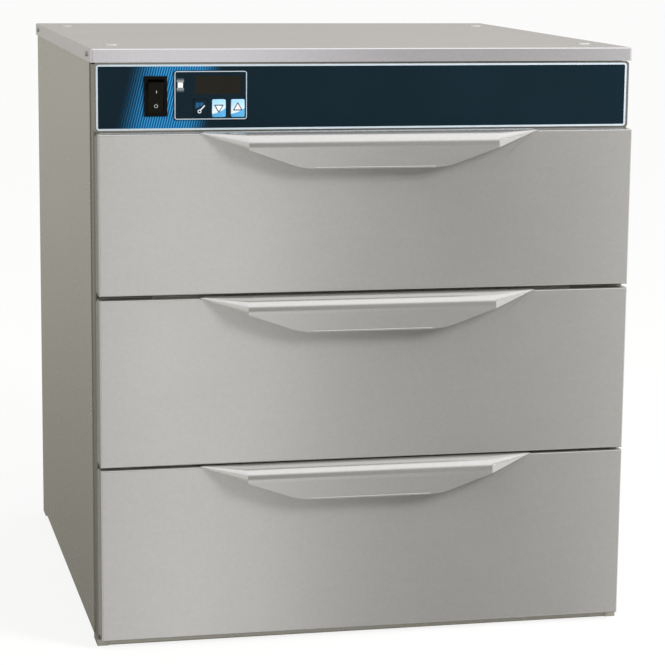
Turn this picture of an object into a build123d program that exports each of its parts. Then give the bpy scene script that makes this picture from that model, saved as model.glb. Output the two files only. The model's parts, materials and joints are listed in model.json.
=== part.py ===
"""Three-drawer warming cabinet: sheet-metal casing, heated cavity and three drawers on rollers.

Millimetres. X runs to the right, Y from front to back, Z up. The origin is the centre of the
whole object's footprint, on the surface that it stands on.
"""

import os

from build123d import *

os.makedirs("parts", exist_ok=True)

# Driving dimensions of the casing
COVER_WIDTH = 624.0
BODY_WIDTH = 620.0
CABINET_HEIGHT = 676.0
CABINET_DEPTH = 648.0
COVER_LIP = 15.0
COVER_SET_BACK = 22.0
SHEET = 1.2
LINER_SHEET = 1.0
BEND = 2.5

# Driving dimensions of the drawers, from the top one down
LEVELS = ("upper", "middle", "lower")
FRONT_TOPS = (584.0, 400.5, 208.0)
FRONT_BOTTOMS = (405.0, 211.0, 10.0)
FRONT_WIDTH = 613.0
FRONT_DEPTH = 21.5
HANDLE_REACH = 20.0
HANDLE_DROP = 38.0
GLAND_REACH = 16.0

# The drawers' faces stand this far from the origin, so that the footprint is centred
FRONT_Y = HANDLE_REACH - (HANDLE_REACH + CABINET_DEPTH + GLAND_REACH) / 2

# Front frame: posts, rails and the openings between them
FRAME_FACE = 25.2
FRAME_RETURN = 46.0
OPENING_HALF = 245.0
POST_OUTSIDE = BODY_WIDTH / 2 - LINER_SHEET
POST_SIDE_LEG = 70.0
SIDE_PANEL_FRONT = 50.0
FRAME_BOTTOM = 7.5
FRAME_TOP = 659.0
RAIL_BANDS = {
    "bottom_frame_rail": (FRAME_BOTTOM, 18.0),
    "lower_divider_rail": (200.0, 219.0),
    "upper_divider_rail": (392.5, 413.0),
    "top_frame_rail": (580.0, 600.0),
}

# Heated cavity
CAVITY_FLOOR = 16.0
CAVITY_CEILING = 582.0
CAVITY_BACK = 620.0

# Drawer slides: a roller fixed to the cabinet at the front, one fixed to the drawer at the back
ROLLER_RADIUS = 12.5
ROLLER_WIDTH = 8.0
ROLLER_X = 235.0
PIN_RADIUS = 3.0
RUNNING_GAP = 0.05
CHANNEL_AXIS_DROP = 45.0
CHANNEL_TIP = 229.0
CHANNEL_HEADROOM = 15.5
CHANNEL_ENDS = (27.0, 612.0)
FRONT_ROLLER_DEPTH = 40.0
REAR_ROLLER_DEPTH = 590.0
RUNNER_WEB = 226.0
RUNNER_LEDGE = 196.0
RUNNER_FOOT = 61.0
RUNNER_END = 604.0

# Lift-out pan
PAN_WIDTH = 388.0
PAN_LENGTH = 524.0
PAN_DEPTH = 127.0
PAN_RIM = 13.0
PAN_CORNER = 32.0
PAN_EDGE = 10.0
PAN_DRAFT = 3.0
PAN_CENTRE_DEPTH = 323.0
PAN_SEAT_DROP = 15.0

# Vent in the inside face of each drawer front
VENT_SLOT = (9.0, 24.0)
VENT_PITCH = 18.0
VENT_COUNT = 9
VENT_DROP = 36.0
VENT_SLIDE_HEIGHT = 34.0

# Control panel, as X and Z centres and sizes
FASCIA_FACE = 24.0
FASCIA_BAND = (584.5, 660.5)
OVERLAY_THICKNESS = 0.6
OVERLAY_BAND = (586.3, 658.7)
OVERLAY_WIDTH = 612.0
SWITCH_CENTRE = (-240.0, 624.0)
SWITCH_BEZEL = (25.4, 44.0)
SWITCH_OPENING = (18.0, 37.0)
CONTROLLER_CENTRE = (-178.7, 624.7)
CONTROLLER_BEZEL = (82.4, 54.7)
CONTROLLER_BODY = (76.0, 48.0)
WINDOW_CENTRE = (-170.0, 636.0)
WINDOW = (52.6, 20.6)
LENS_CENTRE = (-212.8, 636.0)
LENS = 6.5
KEY = (15.4, 19.8)
KEY_CENTRES = {"set_key": (-190.6, 610.3), "down_key": (-169.7, 610.3), "up_key": (-148.4, 610.3)}

# Legs and feet
LEG_SPACING = (540.0, 520.0)
LEG_HOLE_RADIUS = 5.25
FOOT_WIDTH = 12.7


def facing(depth):
    """A plane that many millimetres behind the drawers' faces, seen from the front."""
    return Plane.XZ.offset(-(FRONT_Y + depth))


def folded(points, thickness, bend=BEND, side=Side.LEFT):
    """The cut edge of a sheet bent along a path of points. Hidden sheets have sharp bends."""
    with BuildSketch() as strip:
        with BuildLine():
            if bend:
                FilletPolyline(*points, radius=bend)
            else:
                Polyline(*points)
            offset(amount=thickness, side=side, kind=Kind.ARC if bend else Kind.INTERSECTION)
        make_face()
    return strip.sketch


CABINET_MIDDLE = FRONT_Y + (COVER_SET_BACK + CABINET_DEPTH) / 2
BODY_BACK = CABINET_DEPTH - 2.0

# Top cover: a lid with a lip all round and four plugged holes
COVER_LENGTH = CABINET_DEPTH - COVER_SET_BACK
PLUG_HOLE = 7.0
PLUG_PLACES = [(x, FRONT_Y + depth) for x in (-280.0, 280.0) for depth in (105.0, 566.0)]

with BuildPart() as top_cover:
    with BuildSketch(Plane.XY.offset(CABINET_HEIGHT - COVER_LIP)):
        with Locations((0, CABINET_MIDDLE)):
            RectangleRounded(COVER_WIDTH, COVER_LENGTH, 3)
    extrude(amount=COVER_LIP)
    chamfer(top_cover.faces().sort_by(Axis.Z)[-1].edges(), 1)
    offset(amount=-SHEET, openings=top_cover.faces().sort_by(Axis.Z)[0])
    with Locations(*[(x, y, CABINET_HEIGHT) for x, y in PLUG_PLACES]):
        Hole(PLUG_HOLE, 2 * SHEET)
top_cover.part.label = "top_cover"
export_step(top_cover.part, "parts/top_cover.step")

# Snap-in plugs that close the four holes in the cover
with BuildPart() as cover_plugs:
    for x, y in PLUG_PLACES:
        with BuildSketch(Plane.XZ.offset(-y)):
            with BuildLine():
                Polyline(
                    (x, CABINET_HEIGHT + 0.8),
                    (x + 7.2, CABINET_HEIGHT + 0.8),
                    (x + 8.2, CABINET_HEIGHT),
                    (x + 6.8, CABINET_HEIGHT),
                    (x + 5.8, CABINET_HEIGHT - 4),
                    (x, CABINET_HEIGHT - 4),
                    close=True,
                )
            make_face()
        revolve(axis=Axis((x, y, 0), (0, 0, 1)))
cover_plugs.part.label = "cover_plugs"
export_step(cover_plugs.part, "parts/cover_plugs.step")

# Side panels: one sheet each, turned in at the back and along the bottom
PANEL_BOTTOM = 6.0
PANEL_TOP = CABINET_HEIGHT - SHEET - 0.6
SIDE_FLANGE = 14.0

with BuildPart() as right_side_panel:
    with BuildSketch(Plane.XY.offset(PANEL_BOTTOM)):
        add(
            folded(
                [
                    (BODY_WIDTH / 2, FRONT_Y + SIDE_PANEL_FRONT),
                    (BODY_WIDTH / 2, FRONT_Y + BODY_BACK),
                    (BODY_WIDTH / 2 - SIDE_FLANGE, FRONT_Y + BODY_BACK),
                ],
                LINER_SHEET,
            )
        )
    extrude(amount=PANEL_TOP - PANEL_BOTTOM)
    with BuildSketch(Plane.XY.offset(PANEL_BOTTOM)):
        with Locations((BODY_WIDTH / 2 - SIDE_FLANGE / 2 - LINER_SHEET / 2, CABINET_MIDDLE + 14)):
            Rectangle(SIDE_FLANGE, BODY_BACK - SIDE_PANEL_FRONT - 10)
    extrude(amount=LINER_SHEET)
right_side_panel.part.label = "right_side_panel"
export_step(right_side_panel.part, "parts/right_side_panel.step")

with BuildPart() as left_side_panel:
    mirror(right_side_panel.part, about=Plane.YZ)
left_side_panel.part.label = "left_side_panel"
export_step(left_side_panel.part, "parts/left_side_panel.step")

# Back panel, with cooling slots for the control space and the cord's hole
BACK_PANEL_BAND = (9.0, 659.5)
GLAND_PLACE = (-225.0, 628.0)
GLAND_HOLE = 9.0

with BuildPart() as back_panel:
    with BuildSketch(facing(BODY_BACK)):
        with Locations((0, sum(BACK_PANEL_BAND) / 2)):
            Rectangle(BODY_WIDTH - 4, BACK_PANEL_BAND[1] - BACK_PANEL_BAND[0])
        with Locations((70, 628)):
            with GridLocations(30, 12, 8, 3):
                Rectangle(23, 3.5, mode=Mode.SUBTRACT)
        with Locations(GLAND_PLACE):
            Circle(GLAND_HOLE, mode=Mode.SUBTRACT)
    extrude(amount=-LINER_SHEET)
back_panel.part.label = "back_panel"
export_step(back_panel.part, "parts/back_panel.step")

# Strain-relief gland for the supply cord: a hexagonal nut outside, a hexagonal body inside
CORD_HOLE = 4.2
with BuildPart() as cord_gland:
    for start, length, size in ((-8.0, 8.0, 12.0), (0.0, LINER_SHEET, 8.6), (LINER_SHEET, 8.0, 12.5)):
        with BuildSketch(facing(BODY_BACK + start)):
            with Locations(GLAND_PLACE):
                RegularPolygon(size, 6)
        extrude(amount=-length)
    with BuildSketch(facing(BODY_BACK + LINER_SHEET + 8)):
        with Locations(GLAND_PLACE):
            Circle(8)
    extrude(amount=-(CABINET_DEPTH + GLAND_REACH - BODY_BACK - LINER_SHEET - 8), taper=10)
    with BuildSketch(facing(BODY_BACK - 8)):
        with Locations(GLAND_PLACE):
            Circle(CORD_HOLE)
    extrude(amount=-40, mode=Mode.SUBTRACT)
cord_gland.part.label = "cord_gland"
export_step(cord_gland.part, "parts/cord_gland.step")

# Base pan: a shallow tray with the four leg holes
BASE_HALF_WIDTH = 297.0
BASE_FRONT = 30.0
BASE_CENTRE = FRONT_Y + (BASE_FRONT + BODY_BACK - 2) / 2
BASE_LENGTH = BODY_BACK - 2 - BASE_FRONT

with BuildPart() as base_pan:
    with BuildSketch():
        with Locations((0, BASE_CENTRE)):
            Rectangle(2 * BASE_HALF_WIDTH, BASE_LENGTH)
    extrude(amount=PANEL_BOTTOM)
    offset(amount=-SHEET, openings=base_pan.faces().sort_by(Axis.Z)[-1])
    with Locations((0, BASE_CENTRE, SHEET)):
        with GridLocations(*LEG_SPACING, 2, 2):
            Hole(LEG_HOLE_RADIUS, 2 * SHEET)
base_pan.part.label = "base_pan"
export_step(base_pan.part, "parts/base_pan.step")

# Weld nuts over the leg holes
with BuildPart() as leg_nuts:
    with BuildSketch(Plane.XY.offset(SHEET)):
        with Locations((0, BASE_CENTRE)):
            with GridLocations(*LEG_SPACING, 2, 2):
                RegularPolygon(10, 6)
                Circle(LEG_HOLE_RADIUS, mode=Mode.SUBTRACT)
    extrude(amount=8)
leg_nuts.part.label = "leg_nuts"
export_step(leg_nuts.part, "parts/leg_nuts.step")

# Kick rail below the lowest drawer
KICK_FACE = 17.0
with BuildPart() as front_kick_rail:
    with BuildSketch(Plane.YZ.offset(-BASE_HALF_WIDTH)):
        add(
            folded(
                [
                    (FRONT_Y + BASE_FRONT - 0.5, 0),
                    (FRONT_Y + KICK_FACE, 0),
                    (FRONT_Y + KICK_FACE, FRAME_BOTTOM),
                    (FRONT_Y + FRAME_RETURN, FRAME_BOTTOM),
                ],
                SHEET,
                side=Side.RIGHT,
            )
        )
    extrude(amount=2 * BASE_HALF_WIDTH)
front_kick_rail.part.label = "front_kick_rail"
export_step(front_kick_rail.part, "parts/front_kick_rail.step")

# Corner blocks that close the base at its four corners
with BuildPart() as corner_feet:
    for side in (-1, 1):
        x = side * (BODY_WIDTH / 2 - FOOT_WIDTH / 2)
        with BuildSketch():
            with Locations((x, FRONT_Y + (KICK_FACE + SIDE_PANEL_FRONT) / 2)):
                Rectangle(FOOT_WIDTH, SIDE_PANEL_FRONT - KICK_FACE)
        extrude(amount=FRAME_BOTTOM)
        with BuildSketch():
            with Locations((x, FRONT_Y + BODY_BACK - 18)):
                Rectangle(FOOT_WIDTH, 32)
        extrude(amount=PANEL_BOTTOM)
corner_feet.part.label = "corner_feet"
export_step(corner_feet.part, "parts/corner_feet.step")

# Front posts: channels that carry the side panels, with small drain holes in their faces
DRAIN_HEIGHTS = (34.0, 214.5, 396.0)
DRAIN_RADIUS = 1.1
POST_NOTCH = (17.0, 59.0)

with BuildPart() as right_front_post:
    with BuildSketch(Plane.XY.offset(FRAME_BOTTOM)):
        add(
            folded(
                [
                    (POST_OUTSIDE, FRONT_Y + POST_SIDE_LEG),
                    (POST_OUTSIDE, FRONT_Y + FRAME_FACE),
                    (OPENING_HALF, FRONT_Y + FRAME_FACE),
                    (OPENING_HALF, FRONT_Y + FRAME_RETURN),
                ],
                SHEET,
                side=Side.RIGHT,
            )
        )
    extrude(amount=FRAME_TOP - FRAME_BOTTOM)
    with BuildSketch(facing(FRAME_FACE)):
        with Locations(*[(POST_OUTSIDE - 3.2, z) for z in DRAIN_HEIGHTS]):
            Circle(DRAIN_RADIUS)
    extrude(amount=-2 * SHEET, mode=Mode.SUBTRACT)
    with BuildSketch(facing(FRAME_FACE)):
        with Locations((OPENING_HALF, FRAME_TOP)):
            Rectangle(2 * POST_NOTCH[0], 2 * POST_NOTCH[1])
    extrude(amount=FRAME_FACE - FRAME_RETURN, mode=Mode.SUBTRACT)
right_front_post.part.label = "right_front_post"
export_step(right_front_post.part, "parts/right_front_post.step")

with BuildPart() as left_front_post:
    mirror(right_front_post.part, about=Plane.YZ)
left_front_post.part.label = "left_front_post"
export_step(left_front_post.part, "parts/left_front_post.step")

# Rails between the posts: each a channel that opens to the back
for rail_name, (low, high) in RAIL_BANDS.items():
    with BuildPart() as rail:
        with BuildSketch(Plane.YZ.offset(-OPENING_HALF)):
            add(
                folded(
                    [
                        (FRONT_Y + FRAME_RETURN, low),
                        (FRONT_Y + FRAME_FACE, low),
                        (FRONT_Y + FRAME_FACE, high),
                        (FRONT_Y + FRAME_RETURN, high),
                    ],
                    SHEET,
                    bend=0,
                    side=Side.RIGHT,
                )
            )
        extrude(amount=2 * OPENING_HALF)
    rail.part.label = rail_name
    export_step(rail.part, f"parts/{rail_name}.step")

# Heated cavity: a folded wrap for the sides and ceiling, a floor and a back
with BuildPart() as cavity_wrap:
    with BuildSketch(facing(FRAME_RETURN)):
        add(
            folded(
                [
                    (-OPENING_HALF, CAVITY_FLOOR),
                    (-OPENING_HALF, CAVITY_CEILING),
                    (OPENING_HALF, CAVITY_CEILING),
                    (OPENING_HALF, CAVITY_FLOOR),
                ],
                LINER_SHEET,
                bend=0,
            )
        )
    extrude(amount=-(CAVITY_BACK - FRAME_RETURN))
cavity_wrap.part.label = "cavity_wrap"
export_step(cavity_wrap.part, "parts/cavity_wrap.step")

with BuildPart() as cavity_floor:
    with BuildSketch(Plane.XY.offset(CAVITY_FLOOR)):
        with Locations((0, FRONT_Y + (FRAME_RETURN + CAVITY_BACK) / 2)):
            Rectangle(2 * (OPENING_HALF + LINER_SHEET), CAVITY_BACK - FRAME_RETURN)
    extrude(amount=-LINER_SHEET)
cavity_floor.part.label = "cavity_floor"
export_step(cavity_floor.part, "parts/cavity_floor.step")

SENSOR_PLACE = (60.0, 560.0)
with BuildPart() as cavity_back:
    with BuildSketch(facing(CAVITY_BACK)):
        with Locations((0, (CAVITY_FLOOR + CAVITY_CEILING) / 2)):
            Rectangle(2 * (OPENING_HALF + LINER_SHEET), CAVITY_CEILING - CAVITY_FLOOR + 2 * LINER_SHEET)
        with Locations(SENSOR_PLACE):
            Circle(4, mode=Mode.SUBTRACT)
    extrude(amount=-LINER_SHEET)
cavity_back.part.label = "cavity_back"
export_step(cavity_back.part, "parts/cavity_back.step")

# Air sensor that reaches into the cavity through its back
with BuildPart() as air_sensor:
    with BuildSketch(facing(CAVITY_BACK - 13)):
        with Locations(SENSOR_PLACE):
            Circle(3)
    extrude(amount=-16)
    with BuildSketch(facing(CAVITY_BACK)):
        with Locations(SENSOR_PLACE):
            RegularPolygon(7, 6)
    extrude(amount=2.5)
air_sensor.part.label = "air_sensor"
export_step(air_sensor.part, "parts/air_sensor.step")

# Heating cable: one flat run to and fro on the outside of each side wall of the cavity
CABLE_WIDTH = 6.0
CABLE_THICKNESS = 3.0
CABLE_PITCH = 84.0
CABLE_TURNS = 7
CABLE_ENDS = (FRONT_Y + 95.0, FRONT_Y + 590.0)
CABLE_LOW = 50.0
CABLE_CORNER = 24.0

cable_points = []
for turn in range(CABLE_TURNS):
    height = CABLE_LOW + turn * CABLE_PITCH
    start, end = CABLE_ENDS if turn % 2 == 0 else CABLE_ENDS[::-1]
    inward = CABLE_CORNER if start < end else -CABLE_CORNER
    if turn > 0:
        cable_points += [(start, height - CABLE_CORNER), (start + inward, height)]
    else:
        cable_points.append((start, height))
    if turn < CABLE_TURNS - 1:
        cable_points += [(end - inward, height), (end, height + CABLE_CORNER)]
    else:
        cable_points.append((end, height))

with BuildPart() as heating_cable:
    for side in (-1, 1):
        inner = side * (OPENING_HALF + LINER_SHEET)
        with BuildSketch(Plane.YZ.offset(inner)):
            with BuildLine():
                Polyline(*cable_points)
                offset(amount=CABLE_WIDTH / 2, side=Side.BOTH, kind=Kind.INTERSECTION)
            make_face()
        extrude(amount=side * CABLE_THICKNESS)
heating_cable.part.label = "heating_cable"
export_step(heating_cable.part, "parts/heating_cable.step")

# Insulation between the cavity and the casing: two sides, top, back and bottom
PAD_GAP = CABLE_THICKNESS + 0.5
SIDE_PAD_INNER = OPENING_HALF + LINER_SHEET + PAD_GAP
SIDE_PAD_OUTER = POST_OUTSIDE - 3.0
PAD_DEPTHS = (POST_SIDE_LEG + 2, BODY_BACK - 24)
TRAY_HEIGHT = 606.0

with BuildPart() as insulation_pads:
    for side in (-1, 1):
        with BuildSketch(Plane.XY.offset(32)):
            with Locations((side * (SIDE_PAD_INNER + SIDE_PAD_OUTER) / 2, FRONT_Y + sum(PAD_DEPTHS) / 2)):
                Rectangle(SIDE_PAD_OUTER - SIDE_PAD_INNER, PAD_DEPTHS[1] - PAD_DEPTHS[0])
        extrude(amount=TRAY_HEIGHT - 4 - 32)
    with BuildSketch(Plane.XY.offset(CAVITY_CEILING + LINER_SHEET)):
        with Locations((0, FRONT_Y + sum(PAD_DEPTHS) / 2)):
            Rectangle(2 * OPENING_HALF, PAD_DEPTHS[1] - PAD_DEPTHS[0])
    extrude(amount=TRAY_HEIGHT - CAVITY_CEILING - LINER_SHEET)
    with BuildSketch(Plane.XY.offset(SHEET)):
        with Locations((0, FRONT_Y + sum(PAD_DEPTHS) / 2)):
            Rectangle(2 * OPENING_HALF, PAD_DEPTHS[1] - PAD_DEPTHS[0])
    extrude(amount=CAVITY_FLOOR - LINER_SHEET - SHEET)
    with BuildSketch(facing(CAVITY_BACK + 4)):
        with Locations((0, (CAVITY_FLOOR + CAVITY_CEILING) / 2)):
            Rectangle(2 * SIDE_PAD_OUTER - 20, CAVITY_CEILING - CAVITY_FLOOR)
    extrude(amount=-(BODY_BACK - CAVITY_BACK - 6))
insulation_pads.part.label = "insulation_pads"
export_step(insulation_pads.part, "parts/insulation_pads.step")

# Tray for the electrical parts, above the top insulation
TRAY_DEPTHS = (FRAME_RETURN + 30, BODY_BACK - 6)
with BuildPart() as component_tray:
    with BuildSketch(Plane.XY.offset(TRAY_HEIGHT)):
        with Locations((0, FRONT_Y + sum(TRAY_DEPTHS) / 2)):
            Rectangle(2 * SIDE_PAD_OUTER, TRAY_DEPTHS[1] - TRAY_DEPTHS[0])
    extrude(amount=12)
    offset(amount=-LINER_SHEET, openings=component_tray.faces().sort_by(Axis.Z)[-1])
component_tray.part.label = "component_tray"
export_step(component_tray.part, "parts/component_tray.step")

# Terminal block that joins the cord, switch, controller and heating cable
TERMINAL_CENTRE = (-150.0, FRONT_Y + 560.0)
with BuildPart() as terminal_block:
    with BuildSketch(Plane.XY.offset(TRAY_HEIGHT + LINER_SHEET)):
        with Locations(TERMINAL_CENTRE):
            Rectangle(96, 24)
    extrude(amount=10)
    with BuildSketch(Plane.XY.offset(TRAY_HEIGHT + LINER_SHEET + 10)):
        with Locations(TERMINAL_CENTRE):
            Rectangle(96, 12)
    extrude(amount=12)
    with BuildSketch(Plane.XY.offset(TRAY_HEIGHT + LINER_SHEET + 22)):
        with Locations(TERMINAL_CENTRE):
            with GridLocations(15, 1, 6, 1):
                Rectangle(7, 7)
    extrude(amount=-8, mode=Mode.SUBTRACT)
terminal_block.part.label = "terminal_block"
export_step(terminal_block.part, "parts/terminal_block.step")

# Control fascia: the sheet behind the overlay, with cut-outs for the switch and the controller
SWITCH_CUT_OUT = (22.6, 40.6)
CONTROLLER_CUT_OUT = (CONTROLLER_BODY[0] + 0.6, CONTROLLER_BODY[1] + 0.6)
FASCIA_RETURN = 12.0

with BuildPart() as control_fascia:
    with BuildSketch(facing(FASCIA_FACE)):
        with Locations((0, sum(FASCIA_BAND) / 2)):
            RectangleRounded(2 * POST_OUTSIDE, FASCIA_BAND[1] - FASCIA_BAND[0], 4)
    extrude(amount=-SHEET)
    with BuildSketch(facing(FASCIA_FACE + SHEET)):
        with Locations((0, FASCIA_BAND[1] - SHEET / 2)):
            Rectangle(2 * OPENING_HALF - 2 * BEND, SHEET)
    extrude(amount=-FASCIA_RETURN)
    with BuildSketch(facing(FASCIA_FACE)):
        with Locations(SWITCH_CENTRE):
            Rectangle(*SWITCH_CUT_OUT)
        with Locations(CONTROLLER_CENTRE):
            Rectangle(*CONTROLLER_CUT_OUT)
    extrude(amount=-SHEET, mode=Mode.SUBTRACT)
control_fascia.part.label = "control_fascia"
export_step(control_fascia.part, "parts/control_fascia.step")

# Printed overlay on the fascia
with BuildPart() as fascia_overlay:
    with BuildSketch(facing(FASCIA_FACE)):
        with Locations((0, sum(OVERLAY_BAND) / 2)):
            RectangleRounded(OVERLAY_WIDTH, OVERLAY_BAND[1] - OVERLAY_BAND[0], 3.5)
        with Locations(SWITCH_CENTRE):
            Rectangle(*SWITCH_CUT_OUT, mode=Mode.SUBTRACT)
        with Locations(CONTROLLER_CENTRE):
            Rectangle(*CONTROLLER_CUT_OUT, mode=Mode.SUBTRACT)
    extrude(amount=OVERLAY_THICKNESS)
fascia_overlay.part.label = "fascia_overlay"
export_step(fascia_overlay.part, "parts/fascia_overlay.step")

# Power switch: bezel and body in one moulding, open where the rocker sits
BEZEL_HEIGHT = 2.0
OVERLAY_FACE = FASCIA_FACE - OVERLAY_THICKNESS
SWITCH_BODY_DEPTH = 26.0
ROCKER_PIVOT = 6.0

with BuildPart() as switch_body:
    with BuildSketch(facing(OVERLAY_FACE)):
        with Locations(SWITCH_CENTRE):
            Rectangle(*SWITCH_BEZEL)
    extrude(amount=BEZEL_HEIGHT)
    chamfer(switch_body.faces().sort_by(Axis.Y)[0].edges(), 0.6)
    with BuildSketch(facing(OVERLAY_FACE)):
        with Locations(SWITCH_CENTRE):
            Rectangle(SWITCH_CUT_OUT[0] - 0.4, SWITCH_CUT_OUT[1] - 0.4)
    extrude(amount=-SWITCH_BODY_DEPTH)
    with BuildSketch(facing(OVERLAY_FACE - BEZEL_HEIGHT)):
        with Locations(SWITCH_CENTRE):
            Rectangle(*SWITCH_OPENING)
    extrude(amount=-17, mode=Mode.SUBTRACT)
switch_body.part.label = "switch_body"
export_step(switch_body.part, "parts/switch_body.step")

# Rocker, tilted with its lower half pressed, which is off
ROCKER = (17.2, 34.0)
ROCKER_TILT = 8.0
ROCKER_AXIS_DEPTH = OVERLAY_FACE + ROCKER_PIVOT
ROCKER_HALF = ROCKER[1] / 2

with BuildPart() as power_rocker:
    with BuildSketch(Plane.YZ.offset(SWITCH_CENTRE[0] - ROCKER[0] / 2)):
        with BuildLine():
            face = ThreePointArc((-10.2, ROCKER_HALF), (-7.6, 0), (-10.2, -ROCKER_HALF))
            Polyline(face @ 1, (-4.5, -ROCKER_HALF + 0.6), (4.5, -5), (4.5, 5), (-4.5, ROCKER_HALF - 0.6), face @ 0)
        make_face()
    extrude(amount=ROCKER[0])
power_rocker.part = power_rocker.part.rotate(Axis.X, ROCKER_TILT)
power_rocker.part = Pos(0, FRONT_Y + ROCKER_AXIS_DEPTH, SWITCH_CENTRE[1]) * power_rocker.part
power_rocker.part.label = "power_rocker"
export_step(power_rocker.part, "parts/power_rocker.step")

# Temperature controller: a thin bezel on a box body, with pockets for window, lens and keys
CONTROLLER_BEZEL_HEIGHT = 1.2
CONTROLLER_BODY_DEPTH = 46.0
KEY_POCKET_DEPTH = 3.6
KEY_GAP = 0.3
CONTROLLER_FACE = OVERLAY_FACE - CONTROLLER_BEZEL_HEIGHT

with BuildPart() as controller_case:
    with BuildSketch(facing(OVERLAY_FACE)):
        with Locations(CONTROLLER_CENTRE):
            RectangleRounded(*CONTROLLER_BEZEL, 3)
    extrude(amount=CONTROLLER_BEZEL_HEIGHT)
    chamfer(controller_case.faces().sort_by(Axis.Y)[0].edges(), 0.5)
    with BuildSketch(facing(OVERLAY_FACE)):
        with Locations(CONTROLLER_CENTRE):
            Rectangle(*CONTROLLER_BODY)
    extrude(amount=-CONTROLLER_BODY_DEPTH)
    with BuildSketch(facing(CONTROLLER_FACE)):
        with Locations(*KEY_CENTRES.values()):
            Rectangle(KEY[0] + 2 * KEY_GAP, KEY[1] + 2 * KEY_GAP)
    extrude(amount=-KEY_POCKET_DEPTH, mode=Mode.SUBTRACT)
    with BuildSketch(facing(CONTROLLER_FACE)):
        with Locations(WINDOW_CENTRE):
            Rectangle(*WINDOW)
        with Locations(LENS_CENTRE):
            Rectangle(LENS, LENS)
    extrude(amount=-1.4, mode=Mode.SUBTRACT)
controller_case.part.label = "controller_case"
export_step(controller_case.part, "parts/controller_case.step")

with BuildPart() as display_window:
    with BuildSketch(facing(CONTROLLER_FACE + 0.3)):
        with Locations(WINDOW_CENTRE):
            Rectangle(*WINDOW)
    extrude(amount=-1.1)
display_window.part.label = "display_window"
export_step(display_window.part, "parts/display_window.step")

with BuildPart() as indicator_lens:
    with BuildSketch(facing(CONTROLLER_FACE + 1.4)):
        with Locations(LENS_CENTRE):
            Rectangle(LENS, LENS)
    extrude(amount=2.0, taper=12)
indicator_lens.part.label = "indicator_lens"
export_step(indicator_lens.part, "parts/indicator_lens.step")

# Keys under the display
KEY_PROUD = 0.4
for key_name, centre in KEY_CENTRES.items():
    with BuildPart() as key:
        with BuildSketch(facing(CONTROLLER_FACE - KEY_PROUD)):
            with Locations(centre):
                Rectangle(*KEY)
        extrude(amount=-2.6)
        chamfer(key.faces().sort_by(Axis.Y)[0].edges(), 0.3)
    key.part.label = key_name
    export_step(key.part, f"parts/{key_name}.step")

# Screws of the casing: cover to side panels, back panel to its flanges
SCREW_HEAD = 3.2
SCREW_PROUD = 1.6
cover_screws = [
    Plane((side * COVER_WIDTH / 2, FRONT_Y + depth, CABINET_HEIGHT - 7.2), z_dir=(side, 0, 0))
    for side in (-1, 1)
    for depth in (56.0, 614.0)
]
back_screws = [
    Plane((x, FRONT_Y + BODY_BACK + LINER_SHEET, z), z_dir=(0, 1, 0)) for x in (-299.0, 299.0) for z in (40.0, 340.0, 640.0)
]
with BuildPart() as casing_screws:
    for seat in cover_screws + back_screws:
        with BuildSketch(seat):
            RegularPolygon(SCREW_HEAD, 6)
        extrude(amount=SCREW_PROUD)
casing_screws.part.label = "casing_screws"
export_step(casing_screws.part, "parts/casing_screws.step")

# Slide channels on the cavity walls, each with the pin of its front roller
CHANNEL_WEB = OPENING_HALF
CHANNEL_FLOOR_DROP = ROLLER_RADIUS + RUNNING_GAP
FRONT_ROLLER_RISE = 0.15
CHANNEL_LENGTH = CHANNEL_ENDS[1] - CHANNEL_ENDS[0]
PIN_TIP = ROLLER_X - ROLLER_WIDTH / 2 - 0.8


def channel_axis(top):
    """Height of the rollers' centres below a drawer front's top edge."""
    return top - CHANNEL_AXIS_DROP


with BuildPart() as slide_channels:
    for top in FRONT_TOPS:
        axis = channel_axis(top)
        for side in (-1, 1):
            floor = axis - CHANNEL_FLOOR_DROP - SHEET
            ceiling = axis + CHANNEL_HEADROOM + SHEET
            with BuildSketch(facing(CHANNEL_ENDS[0])):
                add(
                    folded(
                        [
                            (side * CHANNEL_TIP, floor),
                            (side * CHANNEL_WEB, floor),
                            (side * CHANNEL_WEB, ceiling),
                            (side * CHANNEL_TIP, ceiling),
                        ],
                        SHEET,
                        bend=0,
                        side=Side.LEFT if side > 0 else Side.RIGHT,
                    )
                )
            extrude(amount=-CHANNEL_LENGTH)
            with BuildSketch(Plane.YZ.offset(side * (CHANNEL_WEB - SHEET))):
                with Locations((FRONT_Y + FRONT_ROLLER_DEPTH, axis + FRONT_ROLLER_RISE)):
                    Circle(PIN_RADIUS)
            extrude(amount=-side * (CHANNEL_WEB - SHEET - PIN_TIP))
slide_channels.part.label = "slide_channels"
export_step(slide_channels.part, "parts/slide_channels.step")


def roller_profile():
    """Half section of a nylon roller about its own axis, which is the sketch's Y axis."""
    with BuildSketch() as section:
        with Locations(((PIN_RADIUS + RUNNING_GAP + ROLLER_RADIUS) / 2, 0)):
            Rectangle(ROLLER_RADIUS - PIN_RADIUS - RUNNING_GAP, ROLLER_WIDTH)
    return section.sketch


def roller_pair(depth, height):
    """The two rollers of one slide, left and right, on one axis across the cabinet."""
    with BuildPart() as pair:
        for side in (-1, 1):
            centre = (side * ROLLER_X, FRONT_Y + depth, height)
            with BuildSketch(Plane(centre, x_dir=(0, 1, 0), z_dir=(0, 0, side))):
                add(roller_profile())
            revolve(axis=Axis(centre, (side, 0, 0)))
    return pair.part


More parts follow.
